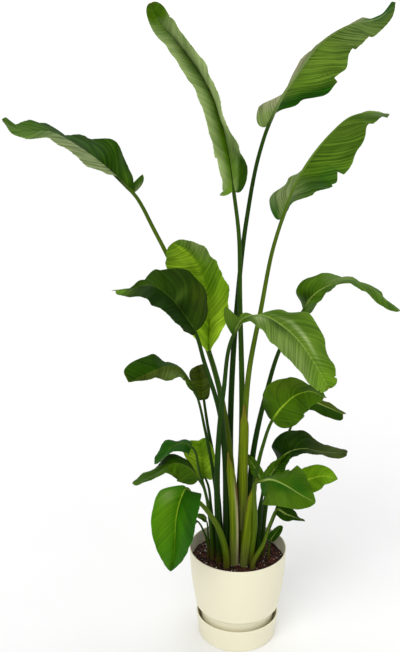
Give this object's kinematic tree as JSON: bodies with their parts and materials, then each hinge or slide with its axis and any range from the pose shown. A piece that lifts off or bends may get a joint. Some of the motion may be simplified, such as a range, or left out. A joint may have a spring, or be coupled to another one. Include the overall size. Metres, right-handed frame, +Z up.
{
  "type": "potted bird of paradise plant",
  "caption": "Tall bird of paradise houseplant: long bare stalks with paddle leaves, growing in a round tapered pot that stands in a deep saucer.",
  "frame": {"origin": "centre of the saucer's flat underside, where the part stands on the floor", "axes": "+Z up through the middle of the pot; -Y is the front of the plant; +X is to the right seen from the front"},
  "size_m": [1.0649, 0.4856, 1.8608],
  "materials": {
    "cream_plastic": "satin",
    "potting_soil": "rough",
    "leaf_green": "satin",
    "stalk_green": "satin",
    "sheath_green": "satin"
  },
  "bodies": {
    "root": {"pot": "cream_plastic", "saucer": "cream_plastic", "soil": "potting_soil", "stalk_far_left": "stalk_green", "blade_far_left": "leaf_green", "stalk_top_left": "stalk_green", "blade_top_left": "leaf_green", "stalk_top_right": "stalk_green", "blade_top_right": "leaf_green", "stalk_upper_right": "stalk_green", "blade_upper_right": "leaf_green", "stalk_mid_left": "stalk_green", "blade_mid_left": "leaf_green", "stalk_mid_left_back": "stalk_green", "blade_mid_left_back": "leaf_green", "stalk_mid_front": "stalk_green", "blade_mid_front": "leaf_green", "stalk_right_drooping": "stalk_green", "blade_right_drooping": "leaf_green", "stalk_mid_right": "stalk_green", "blade_mid_right": "leaf_green", "stalk_mid_right_back": "stalk_green", "blade_mid_right_back": "leaf_green", "stalk_low_right_long": "stalk_green", "blade_low_right_long": "leaf_green", "stalk_low_right_small": "stalk_green", "blade_low_right_small": "leaf_green", "stalk_low_right_front": "stalk_green", "blade_low_right_front": "leaf_green", "stalk_low_right_back": "stalk_green", "blade_low_right_back": "leaf_green", "stalk_low_right_hidden": "stalk_green", "blade_low_right_hidden": "leaf_green", "stalk_rim_right": "stalk_green", "blade_rim_right": "leaf_green", "stalk_rim_curled": "stalk_green", "blade_rim_curled": "leaf_green", "stalk_low_left_arched": "stalk_green", "blade_low_left_arched": "leaf_green", "stalk_low_left_curled": "stalk_green", "blade_low_left_curled": "leaf_green", "stalk_tuft_top": "stalk_green", "blade_tuft_top": "leaf_green", "stalk_tuft_bright": "stalk_green", "blade_tuft_bright": "leaf_green", "stalk_tuft_long": "stalk_green", "blade_tuft_long": "leaf_green", "stalk_low_left_hidden": "stalk_green", "blade_low_left_hidden": "leaf_green", "stalk_low_left_tiny": "stalk_green", "blade_low_left_tiny": "leaf_green", "stalk_front_left": "stalk_green", "blade_front_left": "leaf_green", "sheath_left": "sheath_green", "sheath_right": "sheath_green", "sheath_tall": "sheath_green"}
  },
  "joints": []
}
